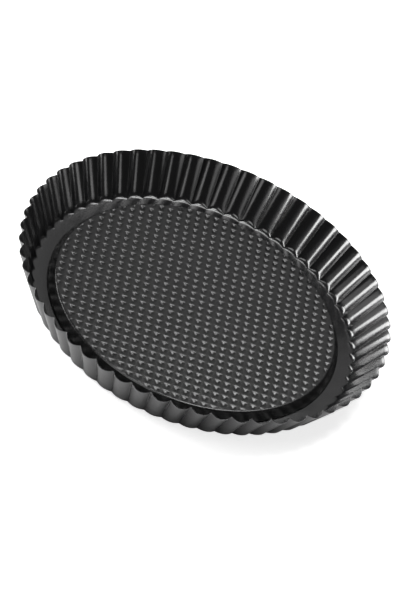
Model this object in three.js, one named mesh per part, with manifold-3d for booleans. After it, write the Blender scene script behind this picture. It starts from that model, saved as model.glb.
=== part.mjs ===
// Loose-bottom fluted tart pan, as two sheet-steel pressings:
//   fluted_ring  the fluted wall, the flat ledge it stands on, and a collar that centres the base
//   loose_base   the raised, dimpled centre plate with a sloping skirt, which lifts out of the ring
// Millimetres, +Z up. The origin is the centre of the pan on the surface it stands on.
import * as THREE from 'three';
import { mergeVertices } from 'three/addons/utils/BufferGeometryUtils.js';
import Module from 'manifold-3d';

const wasm = await Module();
wasm.setup();

// Sheet and clearances
const SHEET = 0.5;               // thickness of the pressed steel
const GAP = 0.3;                 // clearance wherever the base meets the ring

// Fluted wall
const FLUTES = 58;
const RIM_RADIUS = 140;          // over the crests of the flutes
const RIM_DEPTH = 3.5;           // ridge to crest at the rim, square to the wall
const FOOT_DEPTH = 2;            // the same at the foot
const RIDGE_ROUND = 0.07;        // how blunt the inward ridges are, 0 is a sharp cusp
const LOBE_FULLNESS = 0.8;       // under 1 makes the lobes between the ridges fuller
const WALL_HEIGHT = 32.4;        // ledge to the top of a ridge
const FLARE = THREE.MathUtils.degToRad(27.6);   // the wall leans outwards by this
const RIDGE_FILLET = 2.5;        // inside radius where a ridge meets the ledge
const CREST_FILLET = 5.5;        // the same where the crest of a flute meets it

// Raised centre
const STEP_FOOT_RADIUS = 110.5;  // where the skirt of the base meets the ledge
const BASE_RADIUS = 105.6;       // edge of the raised top
const BASE_RISE = 7.3;           // raised top above the ledge
const EDGE_FILLET = 1.8;         // bend between the top and the skirt
const COLLAR_RISE = 4;           // the ring's collar above the ledge

// Dimples pressed into the top: shallow square pyramids on a square grid
const DIMPLE_PITCH = 7;
const DIMPLE_SIDE = 4.2;
const DIMPLE_DEPTH = 0.8;
const DIMPLE_SHIFT = [0.49, 0.47];              // the grid's offset from the centre, in pitches
const BASE_TURN = THREE.MathUtils.degToRad(10.7);   // how the loose base lies turned in the ring

// Facets
const FLUTE_STEPS = 6;           // points round one flute
const FINE = FLUTES * FLUTE_STEPS;
const COARSE = FINE / 3;         // points round the smooth parts

const LEDGE_TOP = SHEET;
const BASE_TOP = LEDGE_TOP + BASE_RISE;
const OUT = new THREE.Vector2(Math.cos(FLARE), -Math.sin(FLARE));   // outward normal of the wall
const UP = new THREE.Vector2(Math.sin(FLARE), Math.cos(FLARE));     // up along the wall
const RIM_RIDGE = new THREE.Vector2(
  RIM_RADIUS - (RIM_DEPTH + SHEET) * OUT.x,
  LEDGE_TOP + WALL_HEIGHT,
);
const FOOT_RIDGE_RADIUS = RIM_RIDGE.x - WALL_HEIGHT * Math.tan(FLARE);
const STEP_SLOPE = Math.atan2(STEP_FOOT_RADIUS - BASE_RADIUS, BASE_RISE);   // skirt from vertical

function coatedSteel(name, colour, roughness) {
  return new THREE.MeshStandardMaterial({ name, color: colour, roughness, metalness: 0.3 });
}

// 0 on a ridge, 1 on a crest: round lobes that meet in narrow ridges. turn is in flutes.
function fluteShape(turn) {
  const lobe = Math.hypot(Math.cos(Math.PI * turn), RIDGE_ROUND);
  return ((lobe - RIDGE_ROUND) / (Math.hypot(1, RIDGE_ROUND) - RIDGE_ROUND)) ** LOBE_FULLNESS;
}

// The points of an arc of the given radius that rounds a corner, in the order of travel.
function roundCorner(before, corner, after, radius, steps) {
  const into = corner.clone().sub(before).normalize();
  const away = after.clone().sub(corner).normalize();
  const bend = Math.acos(THREE.MathUtils.clamp(into.dot(away), -1, 1));
  const tangent = radius * Math.tan(bend / 2);
  const start = corner.clone().addScaledVector(into, -tangent);
  const side = Math.sign(into.cross(away));
  const inward = new THREE.Vector2(-into.y, into.x).multiplyScalar(side);
  const centre = start.clone().addScaledVector(inward, radius);
  return Array.from({ length: steps + 1 }, (_, i) =>
    start.clone().rotateAround(centre, side * bend * i / steps));
}

// One skin of the wall at a flute value, from the ledge to the rim. depth is how far the skin
// lies outside the inner one.
function wallSkin(flute, depth) {
  const rim = RIM_RIDGE.clone().addScaledVector(OUT, RIM_DEPTH * flute + depth);
  const level = LEDGE_TOP - depth;
  const low = RIM_RIDGE.clone().addScaledVector(UP, -WALL_HEIGHT / UP.y)
    .addScaledVector(OUT, FOOT_DEPTH * flute + depth);
  const slope = (rim.x - low.x) / (rim.y - low.y);
  const corner = new THREE.Vector2(low.x + (level - low.y) * slope, level);
  const inside = new THREE.Vector2(0, level);
  const fillet = THREE.MathUtils.lerp(RIDGE_FILLET, CREST_FILLET, flute) + depth;
  return [...roundCorner(inside, corner, rim, fillet, 2), rim];
}

// A loop of points round the pan from a section point at each angle.
function loop(count, sectionPoint) {
  return Array.from({ length: count }, (_, i) => {
    const angle = 2 * Math.PI * i / count;
    const p = sectionPoint(fluteShape(angle * FLUTES / (2 * Math.PI)));
    return [p.x * Math.cos(angle), p.x * Math.sin(angle), p.y];
  });
}

// A closed body from loops that follow each other round its section. Neighbouring loops have
// the same number of points, or one has a whole multiple of the other's.
function bodyFromLoops(loops) {
  const positions = loops.flat(2);
  const starts = loops.map((_, i) => loops.slice(0, i).reduce((sum, l) => sum + l.length, 0));
  const indices = [];
  loops.forEach((a, k) => {
    const next = (k + 1) % loops.length;
    const b = loops[next];
    const steps = Math.max(a.length, b.length);
    const at = (l, start, i) => start + Math.floor(i * l.length / steps) % l.length;
    for (let i = 0; i < steps; i += 1) {
      const [a0, a1] = [at(a, starts[k], i), at(a, starts[k], i + 1)];
      const [b0, b1] = [at(b, starts[next], i), at(b, starts[next], i + 1)];
      if (a0 !== a1) indices.push(a0, b0, a1);
      if (b0 !== b1) indices.push(a1, b0, b1);
    }
  });
  const geometry = new THREE.BufferGeometry();
  geometry.setAttribute('position', new THREE.Float32BufferAttribute(positions, 3));
  geometry.setIndex(indices);
  geometry.computeVertexNormals();
  return geometry;
}

function solidFrom(geometry) {
  const bare = geometry.clone();
  bare.deleteAttribute('normal');
  bare.deleteAttribute('uv');
  const merged = mergeVertices(bare);
  const index = Array.from(merged.index.array);
  const corners = [];
  for (let i = 0; i < index.length; i += 3) {
    const [a, b, c] = index.slice(i, i + 3);
    if (a !== b && b !== c && c !== a) corners.push(a, b, c);
  }
  return new wasm.Manifold(new wasm.Mesh({
    numProp: 3,
    vertProperties: merged.attributes.position.array,
    triVerts: new Uint32Array(corners),
  }));
}

function geometryFrom(solid) {
  const mesh = solid.getMesh();
  const geometry = new THREE.BufferGeometry();
  geometry.setAttribute('position', new THREE.BufferAttribute(mesh.vertProperties, 3));
  geometry.setIndex(new THREE.BufferAttribute(mesh.triVerts, 1));
  geometry.computeVertexNormals();
  return geometry;
}

// Fluted ring: wall, ledge, and a collar parallel to the skirt of the base.
function flutedRing() {
  const skirtInside = STEP_FOOT_RADIUS - SHEET / Math.cos(STEP_SLOPE);
  const collarFoot = skirtInside - GAP / Math.cos(STEP_SLOPE);
  const collarLean = new THREE.Vector2(-Math.sin(STEP_SLOPE), Math.cos(STEP_SLOPE));
  const collarIn = new THREE.Vector2(-collarLean.y, collarLean.x);
  const topCorner = new THREE.Vector2(collarFoot, LEDGE_TOP);
  const collarTop = topCorner.clone().addScaledVector(collarLean, COLLAR_RISE / collarLean.y);
  const collarTopInside = collarTop.clone().addScaledVector(collarIn, SHEET);
  const bottomCorner = new THREE.Vector2(
    collarTopInside.x - collarTopInside.y * collarLean.x / collarLean.y, 0);
  const ledgeEdge = FOOT_RIDGE_RADIUS - RIDGE_FILLET - SHEET;

  const smooth = (r, z) => loop(COARSE, () => new THREE.Vector2(r, z));
  const fluted = (depth, i) => loop(FINE, flute => wallSkin(flute, depth)[i]);
  const geometry = bodyFromLoops([
    fluted(0, 0), fluted(0, 1), fluted(0, 2), fluted(0, 3),
    fluted(SHEET, 3), fluted(SHEET, 2), fluted(SHEET, 1), fluted(SHEET, 0),
    smooth(ledgeEdge, 0), smooth(bottomCorner.x, bottomCorner.y),
    smooth(collarTopInside.x, collarTopInside.y), smooth(collarTop.x, collarTop.y),
    smooth(topCorner.x, topCorner.y), smooth(ledgeEdge, LEDGE_TOP),
  ]);
  const mesh = new THREE.Mesh(geometry, coatedSteel('ring_coating', 0x1b1b1c, 0.34));
  mesh.name = 'fluted_ring';
  return mesh;
}

// All the dimples as one set of separate square pyramids, points down.
function dimpleCutters() {
  const above = 0.3;             // the pyramids run on above the top, so that they cut cleanly
  const height = DIMPLE_DEPTH + above;
  const side = DIMPLE_SIDE * height / DIMPLE_DEPTH;
  const reach = Math.ceil(BASE_RADIUS / DIMPLE_PITCH) + 1;
  const pyramid = new THREE.ConeGeometry(side / Math.SQRT2, height, 4);
  pyramid.rotateY(Math.PI / 4).rotateX(-Math.PI / 2);
  pyramid.translate(0, 0, BASE_TOP + above - height / 2);
  const one = solidFrom(pyramid);
  const cutters = [];
  for (let i = -reach; i <= reach; i += 1) {
    for (let j = -reach; j <= reach; j += 1) {
      const x = (i + DIMPLE_SHIFT[0]) * DIMPLE_PITCH;
      const y = (j + DIMPLE_SHIFT[1]) * DIMPLE_PITCH;
      if (Math.hypot(x, y) < BASE_RADIUS - EDGE_FILLET) cutters.push(one.translate([x, y, 0]));
    }
  }
  return wasm.Manifold.compose(cutters);
}

// Loose base: the raised plate with its skirt, which stands on the ledge.
function looseBase() {
  const plate = DIMPLE_DEPTH + SHEET;          // over the dimples, which stand out underneath
  const foot = LEDGE_TOP + GAP;
  const lean = Math.tan(STEP_SLOPE);
  const thick = SHEET / Math.cos(STEP_SLOPE);
  const skirtRadius = z => STEP_FOOT_RADIUS - (z - LEDGE_TOP) * lean;
  const v = (r, z) => new THREE.Vector2(r, z);
  const outerFoot = v(skirtRadius(foot), foot);
  const edge = v(BASE_RADIUS, BASE_TOP);
  const axisTop = v(0, BASE_TOP);
  const profile = [
    v(0, BASE_TOP - plate),
    v(skirtRadius(BASE_TOP - plate) - thick, BASE_TOP - plate),
    v(skirtRadius(foot) - thick, foot),
    outerFoot,
    ...roundCorner(outerFoot, edge, axisTop, EDGE_FILLET, 3),
    axisTop,
  ];
  const dish = new THREE.LatheGeometry(profile, COARSE).rotateX(Math.PI / 2);
  const solid = solidFrom(dish).subtract(dimpleCutters());
  const mesh = new THREE.Mesh(geometryFrom(solid), coatedSteel('base_coating', 0x222223, 0.42));
  mesh.name = 'loose_base';
  mesh.rotation.z = BASE_TURN;
  return mesh;
}

const tartPan = new THREE.Group();
tartPan.add(flutedRing(), looseBase());

export default tartPan;
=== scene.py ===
"""Looks of a loose-bottom fluted tart pan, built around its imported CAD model.

The two pressings are made again as fine meshes of real 0.5 mm sheet: the fluted ring, and the dimpled
base that lifts out of it. Lengths that start in millimetres are turned into metres by MM.
"""

import math

import bpy
import numpy as np
from mathutils import Matrix, Vector


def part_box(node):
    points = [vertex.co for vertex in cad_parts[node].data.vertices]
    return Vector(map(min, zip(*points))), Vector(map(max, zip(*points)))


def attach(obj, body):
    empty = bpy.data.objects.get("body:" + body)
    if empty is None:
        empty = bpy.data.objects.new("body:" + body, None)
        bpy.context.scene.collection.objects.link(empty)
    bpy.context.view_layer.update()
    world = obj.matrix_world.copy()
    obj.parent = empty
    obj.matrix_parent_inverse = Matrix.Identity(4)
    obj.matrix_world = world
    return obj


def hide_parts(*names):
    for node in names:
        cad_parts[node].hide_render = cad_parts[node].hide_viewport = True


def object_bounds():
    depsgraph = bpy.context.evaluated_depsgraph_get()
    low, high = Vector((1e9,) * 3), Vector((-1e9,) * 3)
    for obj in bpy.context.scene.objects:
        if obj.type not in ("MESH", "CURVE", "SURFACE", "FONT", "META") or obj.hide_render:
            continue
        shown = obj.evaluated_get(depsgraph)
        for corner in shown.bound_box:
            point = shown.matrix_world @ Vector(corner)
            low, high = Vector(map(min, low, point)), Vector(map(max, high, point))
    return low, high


MM = 0.001

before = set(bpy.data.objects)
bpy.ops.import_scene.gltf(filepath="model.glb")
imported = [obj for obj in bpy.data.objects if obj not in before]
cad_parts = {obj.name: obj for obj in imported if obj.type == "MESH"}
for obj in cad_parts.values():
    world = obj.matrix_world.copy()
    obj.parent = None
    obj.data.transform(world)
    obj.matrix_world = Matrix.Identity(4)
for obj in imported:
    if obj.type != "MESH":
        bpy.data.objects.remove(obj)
cad_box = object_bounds()

# ---------------------------------------------------------------- driving sizes, mm
ring_high = np.array(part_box("fluted_ring")[1]) / MM
base_low, base_high = (np.array(corner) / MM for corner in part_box("loose_base"))

SHEET = 0.5                          # thickness of the pressed steel
LEDGE_TOP = SHEET                    # the ring stands on z = 0
FLUTES = 58
RIM_RADIUS = ring_high[0]            # over the crests of the flutes
RIM_TOP = ring_high[2]               # top of the ridges
FLARE = math.radians(27.6)           # the wall leans outwards by this
RIM_DEPTH = 3.5                      # ridge to crest at the rim, square to the wall
FOOT_DEPTH = 2.0                     # the same at the foot
RIDGE_ROUND = 0.07                   # how blunt the inward ridges are, 0 is a sharp cusp
LOBE_FULLNESS = 0.8                  # under 1 makes the lobes between the ridges fuller
RIDGE_FILLET = 2.5                   # inside radius where a ridge meets the ledge
CREST_FILLET = 5.5                   # the same where the crest of a flute meets it
CUT_EDGE = 0.22                      # how far the cut edges of the sheet are rounded

BASE_TOP = base_high[2]
BASE_FOOT = base_low[2]
BASE_RADIUS = 105.6                  # edge of the raised top
STEP_FOOT_RADIUS = 110.5             # where the skirt would meet the ledge
EDGE_BEND = 1.8                      # outside radius of the bend between the top and the skirt
COLLAR_RISE = 4.0                    # the ring's collar inside the skirt, above the ledge
COLLAR_GAP = 0.3                     # between the collar and the skirt
COLLAR_BEND = 1.0                    # inside radius where the ledge turns up into the collar

DIMPLE_PITCH = 7.0
DIMPLE_SIDE = 4.2
DIMPLE_DEPTH = 0.8
DIMPLE_SHIFT = (0.49, 0.47)          # the grid's offset from the centre, in pitches
DIMPLE_SQUARENESS = 7                # 2 is a round cone, a high value a square pyramid
DIMPLE_BLUNT = 0.1                   # how round the bottom of a dimple is, 0 is a sharp point
DIMPLE_SOFT = 0.05                   # how softly its sides turn into the flat top
BASE_TURN = math.radians(10.7)       # how the loose base lies turned in the ring

# Half sizes of the square rings that the mesh has round each dimple, out to half the pitch
TOP_RINGS = (0.25, 1.1, 1.95, 2.2, DIMPLE_PITCH / 2)
UNDER_RINGS = (0.9, 1.8, 2.4, DIMPLE_PITCH / 2)

# ---------------------------------------------------------------- derived sizes
OUT = np.array([math.cos(FLARE), -math.sin(FLARE)])      # outward normal of the wall, as (r, z)
UP = np.array([math.sin(FLARE), math.cos(FLARE)])        # up along the wall
RIM_RIDGE = np.array([RIM_RADIUS - (RIM_DEPTH + SHEET) * OUT[0], RIM_TOP])
WALL_HEIGHT = RIM_TOP - LEDGE_TOP
FOOT_RIDGE_RADIUS = RIM_RIDGE[0] - WALL_HEIGHT * math.tan(FLARE)
STEP_SLOPE = math.atan2(STEP_FOOT_RADIUS - BASE_RADIUS, BASE_TOP - LEDGE_TOP)    # skirt from vertical


# ---------------------------------------------------------------- mesh helpers
def new_piece(name, points, faces, body, node, material):
    """A smooth mesh from points in millimetres, riding a body in place of its CAD node."""
    mesh = bpy.data.meshes.new(name)
    mesh.from_pydata([tuple(p) for p in np.asarray(points) * MM], [], faces)
    mesh.validate()
    mesh.polygons.foreach_set("use_smooth", [True] * len(mesh.polygons))
    mesh.materials.append(material)
    piece = bpy.data.objects.new(name, mesh)
    bpy.context.scene.collection.objects.link(piece)
    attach(piece, body)
    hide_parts(node)


def round_corner(before, corner, after, radius, steps):
    """Points of an arc that rounds a corner, in the order of travel. Works on stacks of (r, z) points."""
    before, corner, after = np.broadcast_arrays(*(np.asarray(p, float) for p in (before, corner, after)))
    into = corner - before
    into = into / np.linalg.norm(into, axis=-1, keepdims=True)
    away = after - corner
    away = away / np.linalg.norm(away, axis=-1, keepdims=True)
    bend = np.arccos(np.clip((into * away).sum(-1), -1, 1))
    start = corner - into * (radius * np.tan(bend / 2))[..., None]
    side = np.sign(into[..., 0] * away[..., 1] - into[..., 1] * away[..., 0])
    inward = np.stack([-into[..., 1], into[..., 0]], -1) * side[..., None]
    arc = []
    for step in range(steps + 1):
        turn = bend * step / steps
        along = into * (radius * np.sin(turn))[..., None]
        across = inward * (radius * (1 - np.cos(turn)))[..., None]
        arc.append(start + along + across)
    return arc


def between(first, last, steps):
    """Points strictly between two stacks of points."""
    return [first + (last - first) * k / steps for k in range(1, steps)]


def edges_seen_once(faces):
    """The edges that only one face has, which are the border of a mesh."""
    count = {}
    for face in faces:
        for a, b in zip(face, face[1:] + face[:1]):
            key = (min(a, b), max(a, b))
            count[key] = count.get(key, 0) + 1
    return [edge for edge, seen in count.items() if seen == 1]


# ---------------------------------------------------------------- fluted ring
def flute_shape(turn):
    """0 on a ridge, 1 on a crest: round lobes that meet in narrow ridges. turn is in flutes."""
    lobe = np.hypot(np.cos(np.pi * turn), RIDGE_ROUND)
    return ((lobe - RIDGE_ROUND) / (math.hypot(1, RIDGE_ROUND) - RIDGE_ROUND)) ** LOBE_FULLNESS


def wall_skin(flute, depth, wall_rows, fillet_rows):
    """One skin of the wall from the ledge to the rim. depth is how far it lies outside the inner skin."""
    rim = RIM_RIDGE + OUT * (RIM_DEPTH * flute + depth)[:, None]
    level = LEDGE_TOP - depth[0]
    low = RIM_RIDGE - UP * (WALL_HEIGHT / UP[1]) + OUT * (FOOT_DEPTH * flute + depth)[:, None]
    slope = (rim[:, 0] - low[:, 0]) / (rim[:, 1] - low[:, 1])
    corner = np.stack([low[:, 0] + (level - low[:, 1]) * slope, np.full(len(flute), level)], 1)
    fillet = RIDGE_FILLET + (CREST_FILLET - RIDGE_FILLET) * flute + depth
    arc = round_corner([0, level], corner, rim, fillet, fillet_rows)
    return arc + between(arc[-1], rim, wall_rows) + [rim]


def fluted_ring(material):
    columns_per_flute = 24
    crowding = 1.7                   # over 1 crowds the columns towards the sharp ridges
    s = np.linspace(-1, 1, columns_per_flute, endpoint=False)
    turn = 0.5 + 0.5 * np.sign(s) * np.abs(s) ** crowding
    turns = (np.arange(FLUTES)[:, None] + turn[None, :]).ravel()
    angle = 2 * np.pi * turns / FLUTES
    flute = flute_shape(turns)
    columns = len(turns)

    def everywhere(r, z):
        return np.tile([r, z], (columns, 1))

    inner = wall_skin(flute, np.zeros(columns), wall_rows=9, fillet_rows=8)
    outer = wall_skin(flute, np.full(columns, SHEET), wall_rows=9, fillet_rows=8)
    edge_in = round_corner(inner[-2], inner[-1], outer[-1], CUT_EDGE, 4)
    edge_out = round_corner(inner[-1], outer[-1], outer[-2], CUT_EDGE, 4)

    lean = np.array([-math.sin(STEP_SLOPE), math.cos(STEP_SLOPE)])
    away = np.array([-lean[1], lean[0]])
    skirt_inside = STEP_FOOT_RADIUS - SHEET / math.cos(STEP_SLOPE)
    foot = np.array([skirt_inside - COLLAR_GAP / math.cos(STEP_SLOPE), LEDGE_TOP])
    top = foot + lean * (COLLAR_RISE / lean[1])
    top_inside = top + away * SHEET
    bottom = np.array([top_inside[0] - top_inside[1] * lean[0] / lean[1], 0.0])
    ledge_edge = FOOT_RIDGE_RADIUS - RIDGE_FILLET - SHEET
    collar_outside = round_corner([ledge_edge, LEDGE_TOP], foot, top, COLLAR_BEND, 3)
    collar_inside = round_corner(top_inside, bottom, [ledge_edge, 0], COLLAR_BEND + SHEET, 3)
    collar_edge = (round_corner(foot, top, top_inside, CUT_EDGE, 2)
                   + round_corner(top, top_inside, bottom, CUT_EDGE, 2))

    loops = inner[:-1] + edge_in + edge_out + outer[-2::-1]
    loops += [everywhere(ledge_edge, 0)]
    loops += [everywhere(*p) for p in collar_inside[::-1]]
    loops += [everywhere(*p) for p in collar_edge[::-1]]
    loops += [everywhere(*p) for p in collar_outside[::-1]]
    loops += [everywhere(ledge_edge, LEDGE_TOP)]

    section = np.stack(loops)                                   # rows x columns x (r, z)
    points = np.stack([section[..., 0] * np.cos(angle), section[..., 0] * np.sin(angle), section[..., 1]], -1)
    rows = len(loops)
    a = np.arange(rows)[:, None] * columns + np.arange(columns)[None, :]
    b = np.roll(a, -1, 0)
    faces = np.stack([a, b, np.roll(b, -1, 1), np.roll(a, -1, 1)], -1).reshape(-1, 4)
    new_piece("ring_pressing", points.reshape(-1, 3), faces.tolist(),
              "ring", "fluted_ring", material)


# ---------------------------------------------------------------- loose base
def soft_ramp(value, softness):
    """value above 0 and nearly 0 below it, with a soft turn between."""
    return 0.5 * (value + np.sqrt(value * value + softness * softness))


def dimple_depth(x, y):
    """Depth of the nearest dimple at a point of the base's own grid: a square pyramid with soft creases."""
    u = (x / DIMPLE_PITCH - DIMPLE_SHIFT[0] + 0.5) % 1 - 0.5
    v = (y / DIMPLE_PITCH - DIMPLE_SHIFT[1] + 0.5) % 1 - 0.5
    across = (np.abs(u) ** DIMPLE_SQUARENESS + np.abs(v) ** DIMPLE_SQUARENESS) ** (1 / DIMPLE_SQUARENESS)
    share = across * DIMPLE_PITCH / (DIMPLE_SIDE / 2)            # 1 on the dimple's edge
    slope = 1 + DIMPLE_BLUNT - np.hypot(share, DIMPLE_BLUNT)
    return DIMPLE_DEPTH * soft_ramp(slope, DIMPLE_SOFT)


def dimpled_disc(radius, half_sizes, spokes):
    """Points and faces of a flat disc meshed along the dimples: rings of rounded squares round each
    dimple, cut off by the disc's edge. half_sizes ends with half the pitch."""
    corner_cut = 0.05                # how much the corners of the squares are drawn in
    side = np.linspace(-1, 1, spokes // 4, endpoint=False)
    one = np.ones_like(side)
    square = np.concatenate([np.stack(p, 1) for p in
                             ((one, side), (-side, one), (-one, -side), (side, -one))])
    reach = int(radius / DIMPLE_PITCH) + 2
    points, faces, known = [], [], {}

    def place(p):
        key = (round(p[0], 4), round(p[1], 4))
        if key not in known:
            known[key] = len(points)
            points.append(p)
        return known[key]

    for i in range(-reach, reach + 1):
        for j in range(-reach, reach + 1):
            centre = np.array([i + DIMPLE_SHIFT[0], j + DIMPLE_SHIFT[1]]) * DIMPLE_PITCH
            if np.hypot(*centre) > radius + DIMPLE_PITCH:
                continue
            middle = place(tuple(centre))
            previous = None
            for half in half_sizes:
                outline = square.copy()
                if half < half_sizes[-1]:
                    at_corner = np.abs(square).min(1) > 0.99
                    outline *= (1 - corner_cut * at_corner)[:, None]
                ring = [place(tuple(centre + half * p)) for p in outline]
                for k in range(spokes):
                    n = (k + 1) % spokes
                    if previous is None:
                        faces.append((middle, ring[k], ring[n]))
                    else:
                        faces.append((previous[k], ring[k], ring[n], previous[n]))
                previous = ring
    return cut_to_circle(np.array(points), faces, radius)


def cut_to_circle(points, faces, radius):
    """The part of a flat mesh inside a circle round the origin, and the indices of the points on the circle,
    by angle."""
    snap = 0.12                      # points this close to the circle are moved onto it
    distance = np.hypot(points[:, 0], points[:, 1])
    near = np.abs(distance - radius) < snap
    points[near] *= (radius / distance[near])[:, None]
    inside = (distance < radius) | near
    points = [tuple(p) for p in points]
    crossings = {}

    def crossing(a, b):
        key = (min(a, b), max(a, b))
        if key not in crossings:
            p, q = np.array(points[key[0]]), np.array(points[key[1]])
            d = q - p
            half_b, c = p @ d, p @ p - radius * radius
            root = math.sqrt(max(half_b * half_b - d @ d * c, 0))
            share = min((t for t in ((-half_b - root) / (d @ d), (-half_b + root) / (d @ d)) if t >= 0),
                        key=lambda t: abs(t - 0.5))
            crossings[key] = len(points)
            points.append(tuple(p + d * share))
        return crossings[key]

    kept = []
    for face in faces:
        flags = inside[list(face)]
        if flags.all():
            kept.append(tuple(face))
            continue
        if not flags.any():
            continue
        cut = []
        for a, b in zip(face, face[1:] + face[:1]):
            if inside[a]:
                cut.append(a)
            if inside[a] != inside[b] and not (near[a] or near[b]):
                cut.append(crossing(a, b))
        if len(cut) >= 3:
            kept.append(tuple(cut))
    used = sorted({v for face in kept for v in face})
    renumbered = {old: new for new, old in enumerate(used)}
    kept = [tuple(renumbered[v] for v in face) for face in kept]
    flat = np.array([points[v] for v in used])
    rim = {v for edge in edges_seen_once(kept) for v in edge}
    rim = sorted(rim, key=lambda v: math.atan2(flat[v][1], flat[v][0]))
    return flat, kept, rim


def loose_base(material):
    lean = math.tan(STEP_SLOPE)
    thick = SHEET / math.cos(STEP_SLOPE)
    axis_top, edge = np.array([0.0, BASE_TOP]), np.array([BASE_RADIUS, BASE_TOP])
    outer_foot = np.array([STEP_FOOT_RADIUS - (BASE_FOOT - LEDGE_TOP) * lean, BASE_FOOT])
    inner_foot = outer_foot - [thick, 0]
    inner_top = BASE_TOP - SHEET
    inner_edge = np.array([STEP_FOOT_RADIUS - (inner_top - LEDGE_TOP) * lean - thick, inner_top])

    bend = round_corner(axis_top, edge, outer_foot, EDGE_BEND, 5)
    inner_bend = round_corner([0, inner_top], inner_edge, inner_foot, EDGE_BEND - SHEET, 3)
    top, top_faces, top_rim = dimpled_disc(bend[0][0], TOP_RINGS, spokes=16)
    under, under_faces, under_rim = dimpled_disc(inner_bend[0][0], UNDER_RINGS, spokes=8)

    points, faces = [], []

    def add(block):
        start = len(points)
        points.extend(np.asarray(block).tolist())
        return start

    def dimpled(flat, rim, level):
        """The disc's points with their dimples, which stop at the rim."""
        drop = dimple_depth(flat[:, 0], flat[:, 1])
        drop[rim] = 0
        return np.column_stack([flat, level - drop])

    top_start = add(dimpled(top, top_rim, BASE_TOP))
    faces.extend(tuple(v + top_start for v in face) for face in top_faces)
    under_start = add(dimpled(under, under_rim, inner_top))
    faces.extend(tuple(v + under_start for v in face[::-1]) for face in under_faces)

    def skirt(flat, rim, rim_start, rows):
        """Loops of points that go on from a disc's rim, round the bend and down the skirt."""
        angle = np.arctan2(flat[rim, 1], flat[rim, 0])
        loops = [[rim_start + v for v in rim]]
        for r, z in rows:
            start = add(np.column_stack([r * np.cos(angle), r * np.sin(angle), np.full(len(rim), z)]))
            loops.append(list(range(start, start + len(rim))))
        return loops

    outer_tail = (between(bend[-1], outer_foot, 4)
                  + round_corner(bend[-1], outer_foot, inner_foot, CUT_EDGE, 2))
    inner_tail = (between(inner_bend[-1], inner_foot, 3)
                  + round_corner(inner_bend[-1], inner_foot, outer_foot, CUT_EDGE, 2))
    outside = skirt(top, top_rim, top_start, bend[1:] + outer_tail)
    inside = skirt(under, under_rim, under_start, inner_bend[1:] + inner_tail)
    for loops, flip in ((outside, False), (inside, True)):
        for a, b in zip(loops, loops[1:]):
            for k in range(len(a)):
                n = (k + 1) % len(a)
                quad = (a[k], b[k], b[n], a[n])
                faces.append(quad[::-1] if flip else quad)
    faces.extend(bridge(points, outside[-1], inside[-1]))

    turned = np.array(points)
    c, s = math.cos(BASE_TURN), math.sin(BASE_TURN)
    turned[:, :2] = turned[:, :2] @ np.array([[c, s], [-s, c]])
    new_piece("base_pressing", turned, faces, "base", "loose_base", material)


def bridge(points, outer, inner):
    """Triangles between two loops of different counts, both in order of angle."""
    def angles(loop):
        turns = [math.atan2(points[v][1], points[v][0]) for v in loop]
        return turns + [turns[0] + 2 * math.pi]
    outer_turns, inner_turns = angles(outer), angles(inner)
    triangles, i, j = [], 0, 0
    while i < len(outer) or j < len(inner):
        a, b = outer[i % len(outer)], inner[j % len(inner)]
        step_outer = j >= len(inner) or (i < len(outer) and outer_turns[i + 1] <= inner_turns[j + 1])
        if step_outer:
            triangles.append((a, b, outer[(i + 1) % len(outer)]))
            i += 1
        else:
            triangles.append((a, b, inner[(j + 1) % len(inner)]))
            j += 1
    return triangles


# ---------------------------------------------------------------- materials
def coating(name, colour, roughness, ior):
    """Baked-on non-stick coating: near black and satin, with a fine orange peel and faint flecks."""
    material = bpy.data.materials.new(name)
    material.use_nodes = True
    nodes, links = material.node_tree.nodes, material.node_tree.links
    shader = nodes["Principled BSDF"]
    where = nodes.new("ShaderNodeTexCoord").outputs["Object"]

    def noise(scale, detail=2.0, rough=0.5):
        n = nodes.new("ShaderNodeTexNoise")
        n.inputs["Scale"].default_value = scale
        n.inputs["Detail"].default_value = detail
        n.inputs["Roughness"].default_value = rough
        links.new(where, n.inputs["Vector"])
        return n.outputs["Fac"]

    def spread(value, low, high):
        n = nodes.new("ShaderNodeMapRange")
        n.inputs["From Min"].default_value = 0.3
        n.inputs["From Max"].default_value = 0.7
        n.inputs["To Min"].default_value = low
        n.inputs["To Max"].default_value = high
        links.new(value, n.inputs["Value"])
        return n.outputs["Result"]

    tint = nodes.new("ShaderNodeMix")
    tint.data_type = "RGBA"
    tint.inputs["A"].default_value = (*(0.75 * c for c in colour), 1)
    tint.inputs["B"].default_value = (*(1.3 * c for c in colour), 1)
    links.new(spread(noise(900, 3), 0, 1), tint.inputs["Factor"])
    links.new(tint.outputs["Result"], shader.inputs["Base Color"])
    links.new(spread(noise(60, 4), roughness - 0.03, roughness + 0.03), shader.inputs["Roughness"])
    peel = nodes.new("ShaderNodeBump")
    peel.inputs["Strength"].default_value = 0.08
    peel.inputs["Distance"].default_value = 0.00008
    links.new(noise(1400, 2), peel.inputs["Height"])
    links.new(peel.outputs["Normal"], shader.inputs["Normal"])
    shader.inputs["Metallic"].default_value = 0.0
    shader.inputs["IOR"].default_value = ior
    return material


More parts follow.
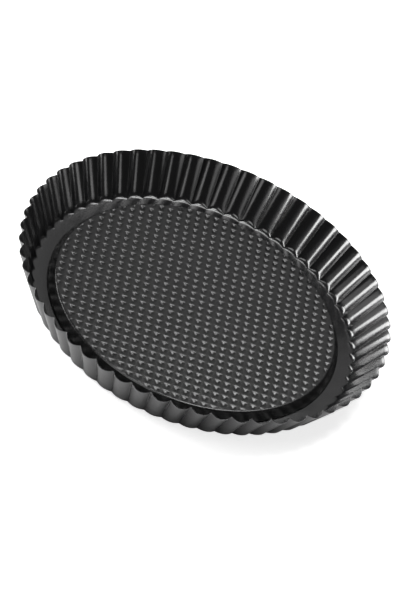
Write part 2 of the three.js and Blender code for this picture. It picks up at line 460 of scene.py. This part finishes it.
def pale_floor():
    """A white table that glows, which is painted light. It looks whiter than it lights the pan, as in a
    cut-out picture, and glows more far out, where the softboxes don't reach.
    The light it sends to the pan is a painted shadow: it fades out under the pan's wall, where a real table
    lies in the pan's shadow."""
    material = bpy.data.materials.new("pale_floor")
    material.use_nodes = True
    nodes, links = material.node_tree.nodes, material.node_tree.links
    shader = nodes["Principled BSDF"]
    shader.inputs["Base Color"].default_value = (0.85, 0.85, 0.85, 1)
    shader.inputs["Roughness"].default_value = 0.9
    shader.inputs["Specular IOR Level"].default_value = 0.1
    shader.inputs["Emission Color"].default_value = (1, 1, 1, 1)
    distance = nodes.new("ShaderNodeVectorMath")
    distance.operation = "LENGTH"
    links.new(nodes.new("ShaderNodeTexCoord").outputs["Object"], distance.inputs[0])

    def rise(start, end, low, high):
        """A value that goes from low to high between two distances from the pan's axis."""
        n = nodes.new("ShaderNodeMapRange")
        n.interpolation_type = "SMOOTHSTEP"
        n.inputs["From Min"].default_value = start
        n.inputs["From Max"].default_value = end
        n.inputs["To Min"].default_value = low
        n.inputs["To Max"].default_value = high
        links.new(distance.outputs["Value"], n.inputs["Value"])
        return n.outputs["Result"]

    # Painted light: the floor's own glow, stronger for camera rays than for the light it sends to the pan
    painted_glow = nodes.new("ShaderNodeMapRange")
    links.new(nodes.new("ShaderNodeLightPath").outputs["Is Camera Ray"], painted_glow.inputs["Value"])
    # Painted shadow: the glow sent to the pan fades to nothing under the pan's wall
    links.new(rise(FOOT_RIDGE_RADIUS * MM, 0.15, 0.0, 0.6), painted_glow.inputs["To Min"])
    # Painted light: to the camera the floor glows brighter far out, where the softboxes don't reach
    links.new(rise(0.2, 0.7, 0.75, 1.0), painted_glow.inputs["To Max"])
    links.new(painted_glow.outputs["Result"], shader.inputs["Emission Strength"])
    half = 30.0                      # metres, so that its edge is out of sight
    below = 0.0001                   # a hair under the pan, so that the two faces don't flicker
    corners = [(-half, -half, 0), (half, -half, 0), (half, half, 0), (-half, half, 0)]
    mesh = bpy.data.meshes.new("floor")
    mesh.from_pydata(corners, [], [(0, 1, 2, 3)])
    mesh.materials.append(material)
    floor = bpy.data.objects.new("floor", mesh)
    floor.location.z = cad_box[0].z - below
    bpy.context.scene.collection.objects.link(floor)


# ---------------------------------------------------------------- camera and light
def direction(azimuth, elevation):
    a, e = math.radians(azimuth), math.radians(elevation)
    return Vector((math.sin(a) * math.cos(e), -math.cos(a) * math.cos(e), math.sin(e)))


def camera():
    """A long lens, well above the rim and rolled so that the pan leans across the picture."""
    target = Vector((0.76, -0.83, 13.95)) * MM
    back = direction(1.92, 39.12)
    roll = math.radians(-23.87)
    distance = 2.545                 # metres
    data = bpy.data.cameras.new("camera")
    data.sensor_width = 36
    data.lens = 213
    data.clip_end = 200
    cam = bpy.data.objects.new("camera", data)
    bpy.context.scene.collection.objects.link(cam)
    level_up = (Vector((0, 0, 1)) - back * back.z).normalized()
    level_right = level_up.cross(back)
    up = level_up * math.cos(roll) + level_right * math.sin(roll)
    right = up.cross(back)
    turn = Matrix((right, up, back)).transposed()
    cam.matrix_world = Matrix.Translation(target + back * distance) @ turn.to_4x4()
    bpy.context.scene.camera = cam


def softbox(name, azimuth, elevation, distance, width, height, radiance):
    """A plain soft panel that faces the pan, in metres. Its brightness is radiance, whatever its size."""
    data = bpy.data.lights.new(name, "AREA")
    data.shape = "RECTANGLE"
    data.size = width
    data.size_y = height
    data.energy = radiance * math.pi * width * height
    light = bpy.data.objects.new(name, data)
    towards = direction(azimuth, elevation)
    light.location = towards * distance
    light.rotation_mode = "QUATERNION"
    light.rotation_quaternion = towards.to_track_quat("Z", "Y")
    light.visible_camera = False
    bpy.context.scene.collection.objects.link(light)


def studio():
    scene = bpy.context.scene
    scene.view_settings.view_transform = "Standard"
    scene.view_settings.look = "None"
    world = bpy.data.worlds.new("studio")
    world.use_nodes = True
    nodes, links = world.node_tree.nodes, world.node_tree.links
    room = nodes["Background"]
    room.inputs["Color"].default_value = (1, 1, 1, 1)
    room.inputs["Strength"].default_value = 0.06
    backdrop = nodes.new("ShaderNodeBackground")
    backdrop.inputs["Color"].default_value = (1, 1, 1, 1)
    seen = nodes.new("ShaderNodeMixShader")
    links.new(nodes.new("ShaderNodeLightPath").outputs["Is Camera Ray"], seen.inputs["Fac"])
    links.new(room.outputs["Background"], seen.inputs[1])
    links.new(backdrop.outputs["Background"], seen.inputs[2])
    links.new(seen.outputs["Shader"], nodes["World Output"].inputs["Surface"])
    scene.world = world
    softbox("overhead", 122, 77, 1.1, 0.24, 0.2, 13.5)
    softbox("top", 164, 61, 1.1, 0.65, 0.27, 7)
    softbox("left", 262, 17, 1.1, 1.0, 0.62, 12)
    softbox("back_left", 222, 7, 1.1, 0.45, 0.2, 12)
    softbox("front_left", 312, 9, 1.1, 0.9, 0.3, 1.3)
    softbox("front_high", 330, 60, 1.1, 0.6, 0.3, 4)
    softbox("right", 62, 13, 1.1, 0.4, 0.3, 2)
    softbox("far_right", 118, 8, 1.1, 0.4, 0.25, 3)
    softbox("back", 185, 32, 1.7, 2.2, 0.8, 0.34)


camera()
fluted_ring(coating("ring_coating_fine", (0.006, 0.006, 0.0065), 0.21, 1.75))
loose_base(coating("base_coating_fine", (0.005, 0.005, 0.005), 0.24, 1.6))
pale_floor()
studio()
